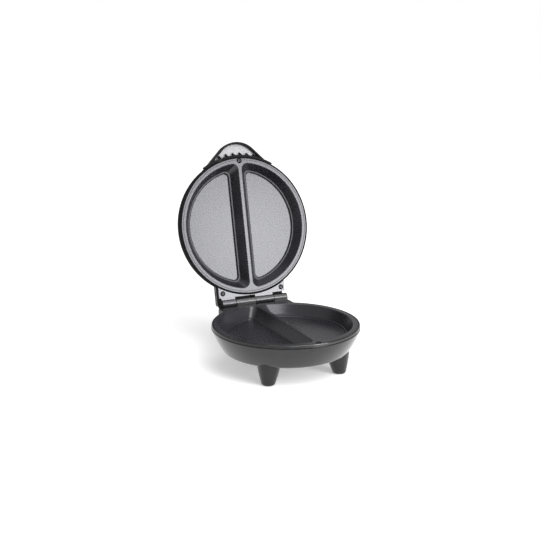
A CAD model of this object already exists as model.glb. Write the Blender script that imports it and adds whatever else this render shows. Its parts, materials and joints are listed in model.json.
import json
import math
from types import SimpleNamespace

import bpy
import numpy as np
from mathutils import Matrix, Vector

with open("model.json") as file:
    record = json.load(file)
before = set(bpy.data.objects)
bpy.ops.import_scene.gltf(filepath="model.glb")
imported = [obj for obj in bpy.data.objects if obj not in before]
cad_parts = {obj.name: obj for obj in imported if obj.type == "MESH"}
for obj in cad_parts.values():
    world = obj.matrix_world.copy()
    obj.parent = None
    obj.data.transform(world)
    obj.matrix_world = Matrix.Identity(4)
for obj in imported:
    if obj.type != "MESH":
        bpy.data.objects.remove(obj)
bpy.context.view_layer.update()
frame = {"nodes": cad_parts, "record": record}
print("frame loaded:", len(frame["nodes"]), "nodes")

# what a user would change about the picture
view = {
    "place": (-0.57576, -1.16877, 0.47061),
    "azimuth": -25.19,          # degrees round from the front, negative to the left
    "elevation": 13.88,
    "lens": 60.69,              # mm
    "sensor": 36.0,             # mm
}
studio = {
    "skyForLight": 0.45,        # how much the white surround lights the object
    "skyForCamera": 1.0,        # how bright the camera sees it
    "lidCentre": (0.0, 0.150, 0.190),
    "lidAim": (0.41, -0.891, 0.185),       # the open lid's face mirrors the camera this way
}
floorLook = {
    "size": 16.0,
    "colour": (0.93, 0.93, 0.93),
    "roughness": 0.9,
    # white added for each kind of ray: from and to which distance from the middle it changes, and its
    # strength at the two; little beside the object for the camera, so that the shadow stays
    "glows": {
        "Is Camera Ray": (0.25, 1.3, 0.38, 0.66),
        "Is Glossy Ray": (0.10, 0.34, 0.9, 0.0),
    },
}
# each lamp hangs this way and this far from what it aims at; metres and watts
lamps = {
    "keyLamp": {
        "aim": studio["lidCentre"], "way": studio["lidAim"], "distance": 1.7, "size": 0.62, "power": 14.0,
    },
    "fillLamp": {
        "aim": (0.0, 0.0, 0.06), "way": (0.10, -0.68, 0.72), "distance": 1.8, "size": 1.2, "power": 17.0,
    },
    "topLamp": {
        "aim": (0.0, 0.0, 0.0), "way": (0.11, -0.11, 0.99), "distance": 1.8, "size": 1.6, "power": 13.0,
    },
}

# where the lid stands open, read off its hinge
hinge = frame["record"]["behaviour"]["joints"][0]
hingeCentre = Vector(hinge["pos_m"])
lidAngle = math.radians(hinge["range_deg"][1])
intoLid = Vector((0.0, math.sin(lidAngle), math.cos(lidAngle)))    # square to the lid's closing face
# depths are metres from the closing face into the lid
lid = {
    "faceFromAxis": -0.0026,            # the closing face, measured that way from the hinge axis
    "ledge": (0.0146, 0.0172),          # depths at which a pocket's ledge starts and ends
    "crownDepth": 0.0396,               # of the dome's middle
    "crownSkin": (0.0015, 0.0010),      # how far short of that its outside starts to count, and fully does
    "crownRadius": 0.886,               # of the ball that the dome's middle is part of
    "crownMiddle": 0.0145,              # radius of the mesh's fan of triangles there
}
straightUp = Vector((0.0, 0.0, 1.0))
acrossHinge = Vector((1.0, 0.0, 0.0))
# middles of the two plates' faces: the base's is over the origin, the lid's is turned open with it
basePlateMiddle = Vector((0.0, 0.0, 0.0682))
outFromHinge = Vector((0.0, -math.cos(lidAngle), math.sin(lidAngle)))
lidPlateMiddle = hingeCentre + hingeCentre.y * outFromHinge + lid["faceFromAxis"] * intoLid

barrel = {"radius": 0.0061, "roughness": 0.31}    # the knuckles round the hinge pin
noiseMiddle = (0.3, 0.7)        # most of a noise lies between these levels
metalDetail = 4.0               # how many finer layers a metal's noise has
facingOut = (-0.8, -0.95)       # cosines at which a face starts to look out of the lid, and fully does
softEdge = {"fine": 0.0001, "line": 0.0002, "step": 0.0004, "fan": 0.001}    # widths of masks' edges


# a new material, its shader and short helpers that add nodes to it
def materialKit(name):
    material = bpy.data.materials.new(name)
    material.use_nodes = True
    nodes = material.node_tree.nodes
    links = material.node_tree.links
    coordinates = nodes.new("ShaderNodeTexCoord")
    place = coordinates.outputs["Object"]

    # links another node's output to a socket, or sets a number, colour or direction on it
    def feed(socket, value):
        if isinstance(value, bpy.types.NodeSocket):
            links.new(value, socket)
        elif socket.type == "RGBA":
            socket.default_value = (*value, 1.0)
        else:
            socket.default_value = value

    # noise on object coordinates; scale is in bumps per metre
    def noise(scale, detail=2.0, stretch=(1.0, 1.0, 1.0)):
        mapping = nodes.new("ShaderNodeMapping")
        mapping.inputs["Scale"].default_value = stretch
        texture = nodes.new("ShaderNodeTexNoise")
        texture.inputs["Scale"].default_value = scale
        texture.inputs["Detail"].default_value = detail
        links.new(place, mapping.inputs["Vector"])
        links.new(mapping.outputs["Vector"], texture.inputs["Vector"])
        return texture.outputs["Fac"]

    # low up to the first level of a value, high from the second on, straight between
    def ramp(value, first, second, low=0.0, high=1.0):
        node = nodes.new("ShaderNodeMapRange")
        node.inputs["From Min"].default_value = first
        node.inputs["From Max"].default_value = second
        node.inputs["To Min"].default_value = low
        node.inputs["To Max"].default_value = high
        links.new(value, node.inputs["Value"])
        return node.outputs["Result"]

    # the middle of a noise, stretched to run from low to high
    def spread(value, low=0.0, high=1.0):
        return ramp(value, *noiseMiddle, low, high)

    def mixed(kind, mask, first, second):
        mix = nodes.new("ShaderNodeMix")
        mix.data_type = kind
        feed(mix.inputs["Factor"], mask)
        feed(mix.inputs["A"], first)
        feed(mix.inputs["B"], second)
        return mix.outputs["Result"]

    # first where the mask is 0, second where it is 1: colours, then numbers
    def tones(mask, first, second):
        return mixed("RGBA", mask, first, second)

    def blend(mask, first, second):
        return mixed("FLOAT", mask, first, second)

    def maths(operation, first, second):
        node = nodes.new("ShaderNodeMath")
        node.operation = operation
        feed(node.inputs[0], first)
        feed(node.inputs[1], second)
        return node.outputs["Value"]

    def vectors(operation, first, second=None, result="Vector"):
        node = nodes.new("ShaderNodeVectorMath")
        node.operation = operation
        feed(node.inputs[0], first)
        if second is not None:
            feed(node.inputs[1], second)
        return node.outputs[result]

    # bumps of the given height in metres, over earlier ones if there are any
    def relief(value, height, under=None):
        bump = nodes.new("ShaderNodeBump")
        bump.inputs["Distance"].default_value = height
        links.new(value, bump.inputs["Height"])
        if under is not None:
            links.new(under, bump.inputs["Normal"])
        return bump.outputs["Normal"]

    # metres along a way from a point
    def depth(point, way):
        return vectors("DOT_PRODUCT", vectors("SUBTRACT", place, point), way, "Value")

    # 1 on faces that look out of the open lid, 0 on others
    def facesOut():
        return ramp(vectors("DOT_PRODUCT", coordinates.outputs["Normal"], intoLid, "Value"), *facingOut)

    # metres from a line through a point; a mirrored line has a twin on the other side of x = 0
    def fromLine(point, way, mirrored=False):
        at = vectors("ABSOLUTE", place) if mirrored else place
        across = vectors("CROSS_PRODUCT", vectors("SUBTRACT", at, point), way)
        return vectors("LENGTH", across, result="Value")

    # 1 past a level of a value, 0 before it
    def beyond(value, level, soft):
        return ramp(value, level - soft, level + soft)

    # 1 between two levels of a value
    def within(value, start, end):
        risen = ramp(value, start - softEdge["line"], start)
        notYetFallen = ramp(value, end + softEdge["line"], end)
        return maths("MULTIPLY", risen, notYetFallen)

    # 1 on the knuckles of the hinge
    def knuckles():
        away = fromLine(hingeCentre, acrossHinge)
        return ramp(away, barrel["radius"] + softEdge["line"], barrel["radius"])

    # the true direction of a ball's surface where the mask is 1, the mesh's own elsewhere
    def ballNormal(mask, centre):
        outward = vectors("NORMALIZE", vectors("SUBTRACT", place, centre))
        turned = nodes.new("ShaderNodeVectorTransform")
        turned.vector_type = "NORMAL"
        turned.convert_from = "OBJECT"
        turned.convert_to = "WORLD"
        links.new(outward, turned.inputs["Vector"])
        own = nodes.new("ShaderNodeNewGeometry").outputs["Normal"]
        return mixed("VECTOR", mask, own, turned.outputs["Vector"])

    return SimpleNamespace(
        material=material, nodes=nodes, inputs=nodes["Principled BSDF"].inputs, place=place, feed=feed,
        noise=noise, ramp=ramp, spread=spread, tones=tones, blend=blend, maths=maths, vectors=vectors,
        relief=relief, depth=depth, facesOut=facesOut, fromLine=fromLine, beyond=beyond, within=within,
        knuckles=knuckles, ballNormal=ballNormal,
    )


# middle line and radius of a screw, or of a mirrored pair of them, from its mesh
def screwSize(nodeName, way, mirrored):
    mesh = frame["nodes"][nodeName].data
    points = np.empty(len(mesh.vertices) * 3)
    mesh.vertices.foreach_get("co", points)
    points = points.reshape(-1, 3)
    across = np.abs(points[:, 0]) if mirrored else points[:, 0]
    aside = way.cross(acrossHinge)
    asides = points @ np.array(aside)
    acrossMiddle = (across.min() + across.max()) / 2
    asideMiddle = (asides.min() + asides.max()) / 2
    return acrossHinge * acrossMiddle + aside * asideMiddle, (across.max() - across.min()) / 2


# the screws seen from outside: node, direction of its axis, and whether it is a mirrored pair
screws = {
    "lid_plate_screw": (intoLid, False),
    "base_plate_screw": (straightUp, False),
    "hinge_plate_screws": (intoLid, True),
}
screwLines = {name: screwSize(name, way, mirrored) for name, (way, mirrored) in screws.items()}

# satin coating of the cooking plates and the hinge plate: near black, with a fine even pebble
coatings = {
    "plateCoating": {
        "dark": (0.008, 0.008, 0.010), "light": (0.022, 0.022, 0.027), "roughness": (0.262, 0.282),
        "specular": 0.73, "tint": (0.95, 0.95, 1.0), "pebbleScale": 700.0, "pebbleDepth": 0.00004,
    },
    "hingePlateCoating": {
        "dark": (0.008, 0.008, 0.010), "light": (0.022, 0.022, 0.026), "roughness": (0.25, 0.27),
        "specular": 1.0, "tint": (0.95, 0.95, 1.0), "pebbleScale": 700.0, "pebbleDepth": 0.00003,
    },
}
shade = {"colour": (0.003, 0.003, 0.003), "roughness": 0.95}    # dark seats and edges
seatWidth = 0.0011              # of the sunk seat round a screw's head
plateRim = {
    "beadRadius": 0.1053,       # a fine line round the rim, drawn by its roughness
    "beadWidth": 0.0008,
    "edgeRadius": 0.1076,       # outside this the rim dips under the bezel and is dark
    "duller": 0.50,             # roughness of the line and of the pockets' ledges
}


# 1 inside the seat of a screw, or of a mirrored pair of them
def seatMask(kit, screwName):
    way, mirrored = screws[screwName]
    point, radius = screwLines[screwName]
    edge = radius + seatWidth
    return kit.ramp(kit.fromLine(point, way, mirrored), edge + softEdge["fine"], edge - softEdge["fine"])


# the coating with its dark places shaded; roughness is another node's output
def finishCoating(kit, look, pebble, roughness, dark):
    colour = kit.tones(kit.spread(pebble), look["dark"], look["light"])
    kit.feed(kit.inputs["Base Color"], kit.tones(dark, colour, shade["colour"]))
    kit.feed(kit.inputs["Roughness"], kit.blend(dark, roughness, shade["roughness"]))
    kit.feed(kit.inputs["Specular IOR Level"], look["specular"])
    kit.feed(kit.inputs["Specular Tint"], look["tint"])
    kit.feed(kit.inputs["Normal"], kit.relief(pebble, look["pebbleDepth"]))
    return kit.material


# a cooking plate, whose round face lies at the middle, square to the way into its pockets
def makePlateCoating(name, middle, way, screwName):
    look = coatings["plateCoating"]
    kit = materialKit(name)
    pebble = kit.noise(look["pebbleScale"])
    ledge = kit.within(kit.depth(middle, way), *lid["ledge"])
    away = kit.fromLine(middle, way)
    halfBead = plateRim["beadWidth"] / 2
    bead = kit.within(away, plateRim["beadRadius"] - halfBead, plateRim["beadRadius"] + halfBead)
    roughness = kit.spread(pebble, *look["roughness"])
    roughness = kit.blend(kit.maths("MAXIMUM", ledge, bead), roughness, plateRim["duller"])
    edge = kit.beyond(away, plateRim["edgeRadius"], softEdge["fine"])
    dark = kit.maths("MAXIMUM", edge, seatMask(kit, screwName))
    return finishCoating(kit, look, pebble, roughness, dark)


def makeHingePlateCoating():
    look = coatings["hingePlateCoating"]
    kit = materialKit("hingePlateCoating")
    pebble = kit.noise(look["pebbleScale"])
    roughness = kit.blend(kit.knuckles(), kit.spread(pebble, *look["roughness"]), barrel["roughness"])
    return finishCoating(kit, look, pebble, roughness, seatMask(kit, "hinge_plate_screws"))


# moulded plastics; grain is the fine texture, peel the slow waviness of a moulded skin
plastics = {
    "glossBlack": {
        "dark": (0.008, 0.008, 0.009), "light": (0.013, 0.013, 0.014), "roughness": (0.05, 0.08),
        "ior": 1.45,
        "grainScale": 1500.0, "grainDepth": 0.000001, "peelScale": 90.0, "peelDepth": 0.00001,
    },
    "lidGloss": {
        "dark": (0.010, 0.010, 0.011), "light": (0.015, 0.015, 0.017), "roughness": (0.12, 0.16),
        "ior": 1.6,
        "grainScale": 1500.0, "grainDepth": 0.000001, "peelScale": 90.0, "peelDepth": 0.00001,
        # before this depth in the lid lies the notch that clears the hinge
        "dullBefore": 0.0118, "dullRoughness": 0.85,
    },
    "rimBlack": {
        "dark": (0.005, 0.005, 0.006), "light": (0.009, 0.009, 0.010), "roughness": (0.12, 0.17),
        "specular": 0.85,
        "grainScale": 1500.0, "grainDepth": 0.000002, "peelScale": 90.0, "peelDepth": 0.00001,
    },
    "lidRimBlack": {
        "dark": (0.004, 0.004, 0.005), "light": (0.008, 0.008, 0.009), "roughness": (0.80, 0.95),
        "specular": 0.15,
        "grainScale": 1500.0, "grainDepth": 0.00001, "peelScale": 90.0, "peelDepth": 0.00001,
    },
    "legSatin": {
        "dark": (0.008, 0.008, 0.009), "light": (0.014, 0.014, 0.015), "roughness": (0.28, 0.36),
        "specular": 0.30,
        "grainScale": 1400.0, "grainDepth": 0.00002, "peelScale": 60.0, "peelDepth": 0.00003,
    },
    "handleSatin": {
        "dark": (0.004, 0.004, 0.005), "light": (0.007, 0.007, 0.008), "roughness": (0.13, 0.17),
        "grainScale": 1400.0, "grainDepth": 0.000001, "peelScale": 60.0, "peelDepth": 0.000005,
        # before this depth in the lid lies the front edge, behind it the wall inside the loop
        "dullBefore": 0.0110, "dullRoughness": 0.95, "wallColour": (0.35, 0.35, 0.365),
    },
    "hingeBlockSatin": {
        "dark": (0.007, 0.007, 0.008), "light": (0.014, 0.014, 0.016), "roughness": (0.40, 0.48),
        "specular": 0.95,
        "grainScale": 1400.0, "grainDepth": 0.00001, "peelScale": 60.0, "peelDepth": 0.00002,
    },
    "switchBrown": {
        "dark": (0.07, 0.05, 0.04), "light": (0.11, 0.08, 0.06), "roughness": (0.45, 0.55),
        "grainScale": 900.0, "grainDepth": 0.00003, "peelScale": 60.0, "peelDepth": 0.00003,
    },
    "terminalIvory": {
        "dark": (0.62, 0.60, 0.53), "light": (0.72, 0.70, 0.63), "roughness": (0.38, 0.48),
        "grainScale": 900.0, "grainDepth": 0.00002, "peelScale": 60.0, "peelDepth": 0.00003,
    },
    "leadSleeve": {
        "dark": (0.45, 0.42, 0.36), "light": (0.58, 0.55, 0.48), "roughness": (0.60, 0.75),
        "grainScale": 1800.0, "grainDepth": 0.00006, "peelScale": 200.0, "peelDepth": 0.00003,
    },
    "rubberBlack": {
        "dark": (0.016, 0.016, 0.016), "light": (0.028, 0.028, 0.028), "roughness": (0.65, 0.80),
        "grainScale": 1100.0, "grainDepth": 0.00004, "peelScale": 80.0, "peelDepth": 0.00003,
    },
    "boardGreen": {
        "dark": (0.05, 0.14, 0.05), "light": (0.08, 0.20, 0.07), "roughness": (0.35, 0.45),
        "grainScale": 1600.0, "grainDepth": 0.00002, "peelScale": 300.0, "peelDepth": 0.00002,
    },
}
plainPlastic = {"ior": 1.5, "specular": 0.5}    # for plastics that don't name their own


# a plastic whose colour, roughness and directions can still be changed before it is finished
def startPlastic(name):
    look = plastics[name]
    kit = materialKit(name)
    peel = kit.noise(look["peelScale"])
    return SimpleNamespace(
        look=look, kit=kit, peel=peel, under=None,
        colour=kit.tones(kit.spread(peel), look["dark"], look["light"]),
        roughness=kit.spread(peel, *look["roughness"]),
    )


def finishPlastic(plastic):
    look = plastic.look
    kit = plastic.kit
    kit.feed(kit.inputs["Base Color"], plastic.colour)
    kit.feed(kit.inputs["Roughness"], plastic.roughness)
    kit.feed(kit.inputs["IOR"], look.get("ior", plainPlastic["ior"]))
    kit.feed(kit.inputs["Specular IOR Level"], look.get("specular", plainPlastic["specular"]))
    wavy = kit.relief(plastic.peel, look["peelDepth"], plastic.under)
    kit.feed(kit.inputs["Normal"], kit.relief(kit.noise(look["grainScale"]), look["grainDepth"], wavy))
    return kit.material


def makePlastic(name):
    return finishPlastic(startPlastic(name))


# makes the front of one of the lid's plastics dull; gives back a mask, 1 behind that front
def dullFront(plastic):
    look = plastic.look
    kit = plastic.kit
    behind = kit.beyond(kit.depth(lidPlateMiddle, intoLid), look["dullBefore"], softEdge["step"])
    plastic.roughness = kit.blend(behind, look["dullRoughness"], plastic.roughness)
    return behind


# the handle: dull along its front edge, and a lighter wall inside the loop
def makeHandle():
    handle = startPlastic("handleSatin")
    kit = handle.kit
    wall = kit.maths("MULTIPLY", dullFront(handle), kit.facesOut())
    handle.colour = kit.tones(wall, handle.colour, handle.look["wallColour"])
    return finishPlastic(handle)


# the base's half of the hinge: smoother round the pin
def makeHingeBlock():
    block = startPlastic("hingeBlockSatin")
    block.roughness = block.kit.blend(block.kit.knuckles(), block.roughness, barrel["roughness"])
    return finishPlastic(block)


# the lid's cover: dull inside the notch that clears the hinge
def makeLidCover():
    cover = startPlastic("lidGloss")
    kit = cover.kit
    dullFront(cover)
    # the mesh's own directions are off in the fan of triangles at the dome's middle
    away = kit.fromLine(lidPlateMiddle, intoLid)
    fan = kit.ramp(away, lid["crownMiddle"] + softEdge["fan"], lid["crownMiddle"])
    skinStart, skinEnd = lid["crownSkin"]
    deep = kit.depth(lidPlateMiddle, intoLid)
    outside = kit.ramp(deep, lid["crownDepth"] - skinStart, lid["crownDepth"] - skinEnd)
    ballCentre = lidPlateMiddle + (lid["crownDepth"] - lid["crownRadius"]) * intoLid
    cover.under = kit.ballNormal(kit.maths("MULTIPLY", fan, outside), ballCentre)
    return finishPlastic(cover)


# metals; the stretch draws the noise out into brushing
metals = {
    "screwSteel": {
        "dark": (0.42, 0.42, 0.43), "light": (0.60, 0.60, 0.61), "roughness": (0.24, 0.36),
        "scale": 900.0, "stretch": (1.0, 1.0, 0.15), "depth": 0.00001,
    },
    "elementSteel": {
        "dark": (0.10, 0.09, 0.09), "light": (0.24, 0.20, 0.17), "roughness": (0.40, 0.55),
        "scale": 160.0, "stretch": (1.0, 1.0, 1.0), "depth": 0.00004,
    },
    "shieldSheet": {
        "dark": (0.52, 0.52, 0.53), "light": (0.68, 0.68, 0.69), "roughness": (0.28, 0.40),
        "scale": 500.0, "stretch": (0.05, 1.0, 1.0), "depth": 0.00001,
    },
    "fuseBrass": {
        "dark": (0.50, 0.36, 0.14), "light": (0.68, 0.52, 0.24), "roughness": (0.25, 0.35),
        "scale": 500.0, "stretch": (1.0, 1.0, 1.0), "depth": 0.00001,
    },
}


def makeMetal(name):
    look = metals[name]
    kit = materialKit(name)
    streak = kit.noise(look["scale"], metalDetail, look["stretch"])
    kit.feed(kit.inputs["Base Color"], kit.tones(kit.spread(streak), look["dark"], look["light"]))
    kit.feed(kit.inputs["Roughness"], kit.spread(streak, *look["roughness"]))
    kit.feed(kit.inputs["Metallic"], 1.0)
    kit.feed(kit.inputs["Normal"], kit.relief(streak, look["depth"]))
    return kit.material


# the outside screws: grey heads that are black round the edge and in the middle
screwHead = {
    "dark": (0.050, 0.050, 0.052), "light": (0.085, 0.085, 0.088), "shadow": (0.003, 0.003, 0.003),
    "roughness": (0.30, 0.40), "scale": 900.0, "depth": 0.00001,
    # shares of the head's radius
    "edgeFrom": 0.62,           # the black edge starts here
    "middleTo": 0.32,           # the driver's recess ends here
    "soft": 0.08,               # how far each of them fades
}


def makeScrewHead(nodeName):
    kit = materialKit(nodeName + "_head")
    way, mirrored = screws[nodeName]
    point, radius = screwLines[nodeName]
    away = kit.fromLine(point, way, mirrored)
    edgeFrom = screwHead["edgeFrom"]
    middleTo = screwHead["middleTo"]
    edge = kit.ramp(away, edgeFrom * radius, (edgeFrom + screwHead["soft"]) * radius)
    middle = kit.ramp(away, (middleTo + screwHead["soft"]) * radius, middleTo * radius)
    grain = kit.noise(screwHead["scale"], metalDetail)
    metal = kit.tones(kit.spread(grain), screwHead["dark"], screwHead["light"])
    black = kit.maths("MAXIMUM", edge, middle)
    kit.feed(kit.inputs["Base Color"], kit.tones(black, metal, screwHead["shadow"]))
    kit.feed(kit.inputs["Roughness"], kit.spread(grain, *screwHead["roughness"]))
    kit.feed(kit.inputs["Metallic"], 1.0)
    kit.feed(kit.inputs["Normal"], kit.relief(grain, screwHead["depth"]))
    return kit.material


# coloured lamp lenses and the small glass lamps
lenses = {
    "redLens": {"dark": (0.45, 0.010, 0.008), "light": (0.62, 0.020, 0.014)},
    "greenLens": {"dark": (0.020, 0.28, 0.06), "light": (0.035, 0.42, 0.09)},
    "neonGlass": {"dark": (0.75, 0.55, 0.38), "light": (0.90, 0.72, 0.52)},
}
lensBody = {"cloudScale": 700.0, "roughness": (0.08, 0.16), "clearness": 0.35}


def makeLens(name):
    look = lenses[name]
    kit = materialKit(name)
    cloud = kit.noise(lensBody["cloudScale"])
    kit.feed(kit.inputs["Base Color"], kit.tones(kit.spread(cloud), look["dark"], look["light"]))
    kit.feed(kit.inputs["Roughness"], kit.spread(cloud, *lensBody["roughness"]))
    kit.feed(kit.inputs["Transmission Weight"], lensBody["clearness"])
    return kit.material


# which CAD nodes wear what
finishes = {
    "glossBlack": ["base_casing"],
    "lidGloss": ["lid_casing"],
    "rimBlack": ["base_bezel"],
    "lidRimBlack": ["lid_bezel"],
    "legSatin": ["leg_front_left", "leg_front_right", "leg_rear_left", "leg_rear_right"],
    "handleSatin": ["handle"],
    "hingeBlockSatin": ["base_hinge_block"],
    "switchBrown": ["base_thermostat", "lid_thermostat"],
    "terminalIvory": ["base_terminal_block", "lid_terminal_block"],
    "leadSleeve": ["base_leads", "base_supply_lead", "lid_leads", "lid_supply_lead", "lamp_lead"],
    "rubberBlack": ["cord_grommet", "leg_pads"],
    "boardGreen": ["lamp_board"],
    "screwSteel": [
        "base_shield_screws", "lid_shield_screws", "leg_screws", "hinge_block_screws", "hinge_pins",
        "handle_screws",
    ],
    "elementSteel": [
        "base_heating_element", "lid_heating_element", "base_element_clips", "lid_element_clips",
    ],
    "shieldSheet": ["base_heat_shield", "lid_heat_shield"],
    "fuseBrass": ["thermal_fuse"],
    "redLens": ["power_lamp_lens"],
    "greenLens": ["ready_lamp_lens"],
    "neonGlass": ["neon_lamps"],
}
# plastics that differ from place to place have makers of their own
ownMakers = {"handleSatin": makeHandle, "hingeBlockSatin": makeHingeBlock, "lidGloss": makeLidCover}


def makeFinish(name):
    if name in ownMakers:
        return ownMakers[name]()
    if name in plastics:
        return makePlastic(name)
    if name in metals:
        return makeMetal(name)
    return makeLens(name)


# puts a material in all slots of a node
def wear(nodeName, material):
    for slot in frame["nodes"][nodeName].material_slots:
        slot.material = material


for finishName, nodeNames in finishes.items():
    finish = makeFinish(finishName)
    for nodeName in nodeNames:
        wear(nodeName, finish)
wear(
    "base_cooking_plate",
    makePlateCoating("basePlateCoating", basePlateMiddle, -straightUp, "base_plate_screw"))
wear("lid_cooking_plate", makePlateCoating("lidPlateCoating", lidPlateMiddle, intoLid, "lid_plate_screw"))
wear("lid_hinge_plate", makeHingePlateCoating())
for nodeName in screws:
    wear(nodeName, makeScrewHead(nodeName))
print("materials on all nodes")


# pale and dull, with white added for the camera and for the object's own reflections of it
def makeFloorWhite():
    kit = materialKit("floorWhite")
    kit.feed(kit.inputs["Base Color"], floorLook["colour"])
    kit.feed(kit.inputs["Roughness"], floorLook["roughness"])
    kit.feed(kit.inputs["Specular IOR Level"], 0.0)
    away = kit.vectors("LENGTH", kit.place, result="Value")
    path = kit.nodes.new("ShaderNodeLightPath")
    strength = 0.0
    for rays, (start, end, near, far) in floorLook["glows"].items():
        glow = kit.maths("MULTIPLY", path.outputs[rays], kit.ramp(away, start, end, near, far))
        strength = kit.maths("ADD", glow, strength)
    white = kit.nodes.new("ShaderNodeEmission")
    kit.feed(white.inputs["Strength"], strength)
    both = kit.nodes.new("ShaderNodeAddShader")
    kit.feed(both.inputs[0], kit.nodes["Principled BSDF"].outputs["BSDF"])
    kit.feed(both.inputs[1], white.outputs["Emission"])
    kit.feed(kit.nodes["Material Output"].inputs["Surface"], both.outputs["Shader"])
    return kit.material


def makeFloor():
    half = floorLook["size"] / 2
    corners = [(-half, -half, 0), (half, -half, 0), (half, half, 0), (-half, half, 0)]
    mesh = bpy.data.meshes.new("floor")
    mesh.from_pydata(corners, [], [(0, 1, 2, 3)])
    mesh.materials.append(makeFloorWhite())
    floor = bpy.data.objects.new("floor", mesh)
    bpy.context.collection.objects.link(floor)


# the camera and what shines through see a white surround, the object a dimmer one
def makeSky():
    world = bpy.data.worlds.new("studio")
    bpy.context.scene.world = world
    world.use_nodes = True
    nodes = world.node_tree.nodes
    links = world.node_tree.links
    dim = nodes["Background"]
    white = nodes.new("ShaderNodeBackground")
    for surround, strength in ((dim, studio["skyForLight"]), (white, studio["skyForCamera"])):
        surround.inputs["Color"].default_value = (1.0, 1.0, 1.0, 1.0)
        surround.inputs["Strength"].default_value = strength
    path = nodes.new("ShaderNodeLightPath")
    seen = nodes.new("ShaderNodeMath")
    seen.operation = "MAXIMUM"
    mix = nodes.new("ShaderNodeMixShader")
    links.new(path.outputs["Is Camera Ray"], seen.inputs[0])
    links.new(path.outputs["Is Transmission Ray"], seen.inputs[1])
    links.new(seen.outputs["Value"], mix.inputs["Fac"])
    links.new(dim.outputs["Background"], mix.inputs[1])
    links.new(white.outputs["Background"], mix.inputs[2])
    links.new(mix.outputs["Shader"], nodes["World Output"].inputs["Surface"])


def makeLamp(name):
    look = lamps[name]
    lamp = bpy.data.lights.new(name, "AREA")
    lamp.size = look["size"]
    lamp.energy = look["power"]
    lampObject = bpy.data.objects.new(name, lamp)
    way = Vector(look["way"]).normalized()
    lampObject.location = Vector(look["aim"]) + way * look["distance"]
    lampObject.rotation_euler = (-way).to_track_quat("-Z", "Y").to_euler()
    bpy.context.collection.objects.link(lampObject)


def makeCamera():
    camera = bpy.data.cameras.new("camera")
    camera.lens = view["lens"]
    camera.sensor_width = view["sensor"]
    cameraObject = bpy.data.objects.new("camera", camera)
    azimuth = math.radians(view["azimuth"])
    elevation = math.radians(view["elevation"])
    back = Vector((
        math.sin(azimuth) * math.cos(elevation),
        -math.cos(azimuth) * math.cos(elevation),
        math.sin(elevation),
    ))
    cameraObject.location = view["place"]
    cameraObject.rotation_euler = (-back).to_track_quat("-Z", "Y").to_euler()
    bpy.context.collection.objects.link(cameraObject)
    bpy.context.scene.camera = cameraObject


makeFloor()
makeSky()
for lampName in lamps:
    makeLamp(lampName)
makeCamera()
bpy.context.scene.view_settings.view_transform = "Standard"
print("studio and camera ready")
